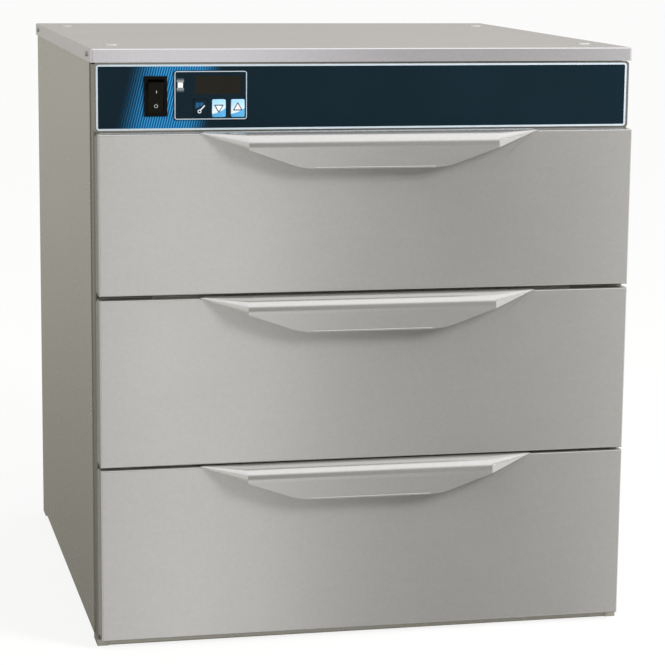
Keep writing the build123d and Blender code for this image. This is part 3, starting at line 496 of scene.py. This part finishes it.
def add_ring(centre, radius, width, height):
    """A flat ring that faces forward, with its front edges softened."""
    bpy.ops.object.select_all(action="DESELECT")
    bpy.ops.mesh.primitive_cylinder_add(
        vertices=40, radius=radius, depth=height, location=centre, rotation=(QUARTER_TURN, 0, 0)
    )
    ring = bpy.context.object
    bpy.ops.object.transform_apply(location=True, rotation=True, scale=True)
    hollow(ring, width)
    soften_front(ring, height / 5)


def printed_outline(name, low, high, face, width, radius, material):
    """A thin raised line round a rectangle with rounded corners."""
    centre = ((low[0] + high[0]) / 2, face - PRINT / 2, (low[2] + high[2]) / 2)
    ring = add_block(centre, (high[0] - low[0], PRINT, high[2] - low[2]))
    round_corners(ring, radius)
    hollow(ring, width)
    settle(name, "cabinet", material)


class WARMER_OT_steel(bpy.types.Operator):
    """Gives the casing, drawers and pulls their satin stainless"""

    bl_idname = "warmer.steel"
    bl_label = "Stainless finishes"

    def execute(self, context):
        looks = context.scene.warmer_finishes
        smooth, rough, grain = looks.roughness, looks.side_roughness, looks.grain
        front = brushed_steel("Satin stainless, drawers", looks.front_steel, smooth, grain, "X")
        # The cover's finish is painted light: the same stainless made lighter
        cover = brushed_steel("Satin stainless, cover, painted lighter", looks.lit_cover_steel, smooth, grain, "X")
        side = brushed_steel("Satin stainless, sides", looks.side_steel, rough, grain, "Y")
        # The fascia's finish is painted shade: the same stainless made darker
        strip = brushed_steel("Satin stainless, fascia, painted shade", looks.shaded_fascia_steel, smooth, grain, "X")
        # The posts' finish is painted shade: the same stainless made darker
        post = brushed_steel("Satin stainless, posts, painted shade", looks.shaded_post_steel, rough, grain, "Z")
        dress(cover, "top_cover")
        dress(strip, "control_fascia")
        dress(side, "left_side_panel", "right_side_panel", "corner_feet", "front_kick_rail")
        dress(side, "bottom_frame_rail", "lower_divider_rail", "upper_divider_rail", "top_frame_rail")
        dress(post, "left_front_post", "right_front_post")
        dress(moulded_plastic("Moulded plugs, grey", "#b4b4ae", 0.5), "cover_plugs")
        for level in LEVELS:
            dress(front, *[f"{level}_drawer_{part}" for part in ("front", "inner_skin", "handle")])
            dress(front, f"{level}_vent_slide")
            # The pans take the cover's painted-lighter steel
            dress(cover, f"{level}_drawer_pan")
        return {"FINISHED"}


class WARMER_OT_inside(bpy.types.Operator):
    """Finishes the plated sheets, cavity, rollers, insulation and electrical parts"""

    bl_idname = "warmer.inside"
    bl_label = "Inner finishes"

    def execute(self, context):
        plated = plated_steel("Zinc-plated sheet", "#b3b6b8")
        dress(plated, "back_panel", "base_pan", "leg_nuts", "component_tray", "slide_channels")
        dress(plated, *[f"{level}_drawer_frame" for level in LEVELS])
        liner = plated_steel("Plain stainless liner", "#bdbcb8")
        dress(liner, "cavity_wrap", "cavity_floor", "cavity_back", "air_sensor")
        nylon = moulded_plastic("Moulded nylon, natural", "#e4e0d2", 0.5)
        dress(nylon, *[f"{level}_{end}_rollers" for level in LEVELS for end in ("front", "rear")])
        dress(moulded_plastic("Moulded plastic, black", "#141414", 0.45), "cord_gland", "terminal_block")
        dress(moulded_plastic("Silicone rubber, red", "#8f3a2c", 0.6), "heating_cable")
        dress(mineral_wool(), "insulation_pads")
        return {"FINISHED"}


class WARMER_OT_overlay(bpy.types.Operator):
    """Prints the overlay and adds its border"""

    bl_idname = "warmer.overlay"
    bl_label = "Printed overlay"

    def execute(self, context):
        looks = context.scene.warmer_finishes
        sizes = context.scene.warmer_panel
        dress(printed_overlay(looks, sizes), "fascia_overlay")
        pale = moulded_plastic("Printed border, silver", looks.border, 0.4)
        face, width, corner = OVERLAY_LOW[1], sizes.border_width, sizes.border_corner
        printed_outline("overlay_border", OVERLAY_LOW, OVERLAY_HIGH, face, width, corner, pale)
        return {"FINISHED"}


class WARMER_OT_switch(bpy.types.Operator):
    """Finishes the power switch and adds the on and off marks to its rocker"""

    bl_idname = "warmer.switch"
    bl_label = "Power switch"

    def execute(self, context):
        dress(moulded_plastic("Switch body, black", "#0c0b07", 0.5, 0.1), "switch_body")
        dress(moulded_plastic("Switch rocker, black", "#0f0e09", 0.4, 0.15), "power_rocker")
        white = moulded_plastic("Filled mark, white", "#b9bcb8", 0.5)
        joints = frame["record"]["behaviour"]["joints"]
        pivot = Vector(next(joint for joint in joints if joint["name"] == "power_switch")["pos_m"])
        # The rocker leans at rest, and its marks lean with it
        soften_front(add_block(pivot + Vector(ON_PLACE), ON_SIZE), 0.1 * MM)
        turn_mesh(-ROCKER_LEAN, "X", pivot)
        settle("on_mark", "rocker", white)
        add_ring(pivot + Vector(OFF_PLACE), OFF_RADIUS, OFF_WIDTH, OFF_HEIGHT)
        turn_mesh(-ROCKER_LEAN, "X", pivot)
        settle("off_mark", "rocker", white)
        return {"FINISHED"}


class WARMER_OT_controller(bpy.types.Operator):
    """Finishes the temperature controller: outline, display, indicator, keys and their marks"""

    bl_idname = "warmer.controller"
    bl_label = "Controller"

    def execute(self, context):
        corner = context.scene.warmer_panel.key_corner
        ground = moulded_plastic("Controller face, dark", "#102029", 0.45, 0.1)
        dress(ground, "controller_case")
        dress(self.smoked_window(), "display_window")
        dress(moulded_plastic("Diffusing lens, white", "#eef0ee", 0.4), "indicator_lens")
        pale = moulded_plastic("Printed outline, silver", "#b9c6cf", 0.4)
        inset = Vector((OUTLINE_INSET, 0, OUTLINE_INSET))
        low, high = Vector(CONTROLLER_LOW) + inset, Vector(CONTROLLER_HIGH) - inset
        printed_outline("controller_outline", low, high, CONTROLLER_FACE, OUTLINE_WIDTH, OUTLINE_CORNER, pale)
        self.indicator_bars()
        for name, (turn, lift) in ARROWS.items():
            self.arrow_key(name, turn, lift, corner)
        self.set_key(corner, ground)
        return {"FINISHED"}

    def smoked_window(self):
        """Smoked acrylic: nearly black, with the faint waviness of a moulded window in its gloss."""
        material, tree, shader, place = new_finish("Smoked acrylic window", Specular_IOR_Level=0.2)
        shader.inputs["Base Color"].default_value = rgba("#14130b")
        gloss = maths(tree, "MULTIPLY_ADD", speckle(tree, place, 90.0), 0.08, 0.12)
        tree.links.new(gloss, shader.inputs["Roughness"])
        return material

    def indicator_bars(self):
        """The graded bars above and below the indicator."""
        low, high = (Vector(corner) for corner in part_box("indicator_lens"))
        centre = (low + high) / 2
        material = graded_bars(centre.z)
        for side, name in ((1, "bars_above"), (-1, "bars_below")):
            place = (centre.x, CONTROLLER_FACE - PRINT / 2, centre.z + side * BAR_OFFSET)
            soften_front(add_block(place, BAR_SIZE), 0.04 * MM)
            settle(f"indicator_{name}", "cabinet", material)

    def cap(self, name, corner, material):
        """A key with rounded corners in place of the plain one."""
        low, high = (Vector(point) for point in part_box(f"{name}_key"))
        key = add_block((low + high) / 2, high - low)
        round_corners(key, corner)
        soften_front(key, 0.35 * MM)
        piece = settle(f"{name}_key_cap", f"{name}_button", material)
        bpy.ops.object.shade_smooth_by_angle(angle=math.radians(40))
        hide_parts(f"{name}_key")
        return low, high

    def arrow_key(self, name, turn, lift, corner):
        """A printed key and its raised triangle, which points the way that the key changes the setting."""
        low, high = (Vector(point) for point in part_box(f"{name}_key"))
        centre = (low + high) / 2
        self.cap(name, corner, key_print(f"Printed key, {name}", centre))
        # Turned to face forward, the three-sided cylinder has a corner at its top
        bpy.ops.object.select_all(action="DESELECT")
        bpy.ops.mesh.primitive_cylinder_add(
            vertices=3,
            radius=ARROW_RADIUS,
            depth=PRINT,
            location=(centre.x, low.y - PRINT / 2, centre.z + lift),
            rotation=(QUARTER_TURN, turn, 0),
        )
        arrow = bpy.context.object
        bpy.ops.object.transform_apply(location=True, rotation=True, scale=True)
        round_corners(arrow, ARROW_CORNER, 4)
        select(arrow, faces=lambda c, n: n.y < -0.9)
        bpy.ops.mesh.inset(thickness=ARROW_RIM)
        bpy.ops.object.mode_set(mode="OBJECT")
        rim = moulded_plastic(f"Arrow rim, {name}", "#6a6f7c", 0.5)
        piece = settle(f"{name}_arrow", f"{name}_button", rim)
        piece.data.materials.append(moulded_plastic(f"Arrow middle, {name}", "#f1f2f2", 0.5))
        fronts = [polygon for polygon in piece.data.polygons if polygon.normal.y < -0.9]
        max(fronts, key=lambda polygon: polygon.area).material_index = 1

    def set_key(self, corner, ground):
        """The setting key: dark, with a spanner-like mark over a few short blue lines."""
        low, high = self.cap("set", corner, ground)
        centre = (low + high) / 2
        face = low.y - PRINT / 2
        blue = moulded_plastic("Printed lines, blue", "#2c7bb4", 0.5)
        for index in range(LINE_COUNT):
            length = LINE_LENGTH - index * LINE_STEP
            place = (centre.x + LINE_START + index * LINE_PITCH, face, centre.z + LINE_TOP - length / 2)
            soften_front(add_block(place, (LINE_WIDTH, PRINT, length)), 0.03 * MM)
            settle(f"set_line_{index + 1}", "set_button", blue)
        white = moulded_plastic("Printed mark, white", "#dfe5e8", 0.5)
        add_ring((centre.x + RING_PLACE[0], face, centre.z + RING_PLACE[1]), RING_RADIUS, RING_WIDTH, PRINT)
        settle("set_mark_ring", "set_button", white)
        # The bar lies on the lines
        middle = (centre.x + HANDLE_PLACE[0], face - PRINT, centre.z + HANDLE_PLACE[1])
        handle = add_block(middle, HANDLE_SIZE)
        turn_mesh(-HANDLE_LEAN, "Y", middle)
        soften_front(handle, 0.03 * MM)
        settle("set_mark_bar", "set_button", white)


class WARMER_OT_screws(bpy.types.Operator):
    """Puts hexagon screws with dished heads in place of the plain ones"""

    bl_idname = "warmer.screws"
    bl_label = "Casing screws"

    def execute(self, context):
        plated = plated_steel("Zinc-plated screws", "#a2a39f")
        dress(plated, "casing_screws")
        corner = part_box("casing_screws")[1]
        side_x = corner[0] - SCREW_HEIGHT
        back_y = corner[1] - SCREW_HEIGHT
        places = [
            ((side * side_x, DRAWER_FACE + depth, SIDE_SCREW_HEIGHT), (0, side * QUARTER_TURN, 0))
            for side in (-1, 1)
            for depth in SIDE_SCREW_DEPTHS
        ]
        places += [
            ((side * BACK_SCREW_X, back_y, height), (-QUARTER_TURN, 0, 0))
            for side in (-1, 1)
            for height in BACK_SCREW_HEIGHTS
        ]
        pattern = self.head()
        for number, (place, turn) in enumerate(places, start=1):
            bpy.ops.object.select_all(action="DESELECT")
            screw = pattern.copy()
            screw.data = pattern.data.copy()
            context.collection.objects.link(screw)
            screw.select_set(True)
            context.view_layer.objects.active = screw
            screw.location = place
            screw.rotation_euler = turn
            settle(f"casing_screw_{number}", "cabinet", plated)
            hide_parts("casing_screws")
        bpy.data.objects.remove(pattern)
        return {"FINISHED"}

    def head(self):
        """One head that faces up: a hexagon with softened edges and a dished top."""
        bpy.ops.object.select_all(action="DESELECT")
        bpy.ops.mesh.primitive_cylinder_add(
            vertices=6, radius=SCREW_RADIUS, depth=SCREW_HEIGHT, location=(0, 0, SCREW_HEIGHT / 2)
        )
        screw = bpy.context.object
        bpy.ops.object.transform_apply(location=True, rotation=True, scale=True)
        select(screw, faces=lambda c, n: n.z > 0.9)
        bpy.ops.mesh.inset(thickness=SCREW_RIM)
        bpy.ops.transform.translate(value=(0, 0, -SCREW_DISH))
        bpy.ops.object.mode_set(mode="OBJECT")
        # The rim of the top, and the short edges down to the dish
        top = SCREW_HEIGHT - 1e-7
        select(screw, edges=lambda a, b: (a.z > top and b.z > top) or (a - b).length < 0.7 * SCREW_HEIGHT)
        bpy.ops.mesh.bevel(offset=0.25 * MM, segments=2)
        bpy.ops.object.mode_set(mode="OBJECT")
        return screw


class WARMER_OT_studio(bpy.types.Operator):
    """Sets up the floor, the soft lamp, the white surroundings and the camera"""

    bl_idname = "warmer.studio"
    bl_label = "Studio"

    def execute(self, context):
        studio = context.scene.warmer_studio
        self.floor(studio)
        self.surroundings(context.scene, studio)
        self.lamp(studio)
        camera_data = bpy.data.cameras.new("photo_view")
        camera = bpy.data.objects.new("photo_view", camera_data)
        context.collection.objects.link(camera)
        camera_data.lens = studio.lens
        camera_data.sensor_width = 36
        camera.location = studio.camera
        camera.rotation_euler = (studio.pitch, studio.roll, studio.yaw)
        context.scene.camera = camera
        context.scene.view_settings.view_transform = "Standard"
        return {"FINISHED"}

    def lamp(self, studio):
        """One square soft lamp, aimed a little above the cabinet's middle. The steel doesn't mirror it."""
        bpy.ops.object.light_add(type="AREA", location=studio.lamp)
        lamp = bpy.context.object
        lamp.name = "key_softbox"
        lamp.data.size = studio.lamp_size
        lamp.data.energy = studio.lamp_power
        target = Vector((0, 0, 0.4))
        lamp.rotation_euler = (target - Vector(studio.lamp)).to_track_quat("-Z", "Y").to_euler()
        lamp.visible_glossy = False

    def floor(self, studio):
        """A pale floor with the object's shadow: nearly white to the camera, and left out of reflections."""
        bpy.ops.object.select_all(action="DESELECT")
        bpy.ops.mesh.primitive_plane_add(size=60, location=(0, 0, 0))
        floor = bpy.context.object
        floor.name = "studio_floor"
        material, tree, shader, place = new_finish("Studio floor", Roughness=0.8)
        cloud = speckle(tree, place, 3.0)
        pale = blend(tree, cloud, rgba(studio.floor, 0.98), rgba(studio.floor))
        rays = add_node(tree, "ShaderNodeLightPath").outputs
        # Darker where its light would reach the cabinet, which stands on a darker floor
        bounce = blend(tree, rays["Is Diffuse Ray"], pale, rgba(studio.floor, 0.35))
        tree.links.new(bounce, shader.inputs["Base Color"])
        white = add_node(tree, "ShaderNodeEmission", {"Color": (1, 1, 1, 1), "Strength": 1.0}).outputs[0]
        seen = maths(tree, "MULTIPLY", rays["Is Camera Ray"], 0.85)
        shown = add_node(tree, "ShaderNodeMixShader", {0: seen, 1: shader.outputs[0], 2: white}).outputs[0]
        clear = add_node(tree, "ShaderNodeBsdfTransparent").outputs[0]
        inputs = {0: rays["Is Glossy Ray"], 1: shown, 2: clear}
        mix = add_node(tree, "ShaderNodeMixShader", inputs).outputs[0]
        tree.links.new(mix, tree.nodes["Material Output"].inputs["Surface"])
        floor.data.materials.append(material)

    def surroundings(self, scene, studio):
        """White surroundings to the camera, and to the steel a soft studio.

        The studio has a floor whose level changes from left to right, bright walls at both sides,
        darker ones ahead and behind, and a bright ceiling. The fronts mirror the floor from 7 to 20
        degrees right of straight ahead, the left side panel and the cover mirror what is behind,
        and the tops of the pulls mirror the ceiling.
        """
        world = bpy.data.worlds.new("studio")
        scene.world = world
        world.use_nodes = True
        tree = world.node_tree
        direction = add_node(tree, "ShaderNodeTexCoord").outputs["Generated"]
        axes = add_node(tree, "ShaderNodeSeparateXYZ", {"Vector": direction}).outputs
        bearing = maths(tree, "ARCTAN2", axes["X"], maths(tree, "MULTIPLY", axes["Y"], -1.0))
        ahead = AHEAD_LEVEL
        for start, end, change in AHEAD_CHANGES:
            step = ramp(tree, bearing, math.radians(start), math.radians(end))
            ahead = maths(tree, "MULTIPLY_ADD", step, change, ahead)
        # Behind, the floor is dark near by and grey far off
        behind = maths(tree, "MULTIPLY_ADD", ramp(tree, axes["Z"], -0.34, -0.02), 0.34, 0.19)
        back = ramp(tree, axes["Y"], -0.1, 0.4)
        floor = between(tree, back, ahead, behind)
        # The wall ahead falls from bright at the left to dark, and the one behind is grey
        wall = between(tree, ramp(tree, axes["X"], -0.3, -0.05), 0.8, 0.1)
        wall = between(tree, back, wall, 0.42)
        level = between(tree, ramp(tree, axes["Z"], 0.08, 0.2), floor, wall)
        sides = ramp(tree, maths(tree, "ABSOLUTE", axes["X"]), 0.45, 0.75)
        level = between(tree, sides, level, 0.85)
        # The ceiling is brightest from the middle to the right
        ceiling = between(tree, ramp(tree, axes["X"], -0.45, -0.05), 0.85, 1.25)
        light = between(tree, ramp(tree, axes["Z"], 0.58, 0.76), level, ceiling)
        light = maths(tree, "MULTIPLY", light, studio.ambient)
        # Dim parts of the room are a little warmer than bright ones
        warm, cool = (1.0, 0.965, 0.86, 1), (1.0, 0.995, 1.02, 1)
        tint = blend(tree, ramp(tree, light, 0.3, 1.1), warm, cool)
        rays = add_node(tree, "ShaderNodeLightPath").outputs
        seen = maths(tree, "MAXIMUM", rays["Is Camera Ray"], rays["Is Transmission Ray"])
        background = tree.nodes["Background"].inputs
        tree.links.new(between(tree, seen, light, 1.0), background["Strength"])
        tree.links.new(blend(tree, seen, tint, (1, 1, 1, 1)), background["Color"])


class WARMER_PT_tools(bpy.types.Panel):
    """Lists the cabinet's operators"""

    bl_label = "Warming cabinet"
    bl_idname = "WARMER_PT_tools"
    bl_space_type = "VIEW_3D"
    bl_region_type = "UI"
    bl_category = "Warming cabinet"

    def draw(self, context):
        for step in STEPS:
            self.layout.operator(step.bl_idname)


STEPS = (
    WARMER_OT_steel,
    WARMER_OT_inside,
    WARMER_OT_overlay,
    WARMER_OT_switch,
    WARMER_OT_controller,
    WARMER_OT_screws,
    WARMER_OT_studio,
)
SETTINGS = {"warmer_finishes": FinishSettings, "warmer_panel": PanelSettings, "warmer_studio": StudioSettings}


def register():
    """Adds the settings, operators and panel to Blender."""
    for kind in (*SETTINGS.values(), *STEPS, WARMER_PT_tools):
        bpy.utils.register_class(kind)
    for name, kind in SETTINGS.items():
        setattr(bpy.types.Scene, name, PointerProperty(type=kind))


def unregister():
    """Takes them away again."""
    for name in SETTINGS:
        delattr(bpy.types.Scene, name)
    for kind in (WARMER_PT_tools, *reversed(STEPS), *SETTINGS.values()):
        bpy.utils.unregister_class(kind)


def main():
    """Runs every step in order."""
    register()
    for step in STEPS:
        group, name = step.bl_idname.split(".")
        getattr(getattr(bpy.ops, group), name)()


if __name__ == "__main__":
    main()
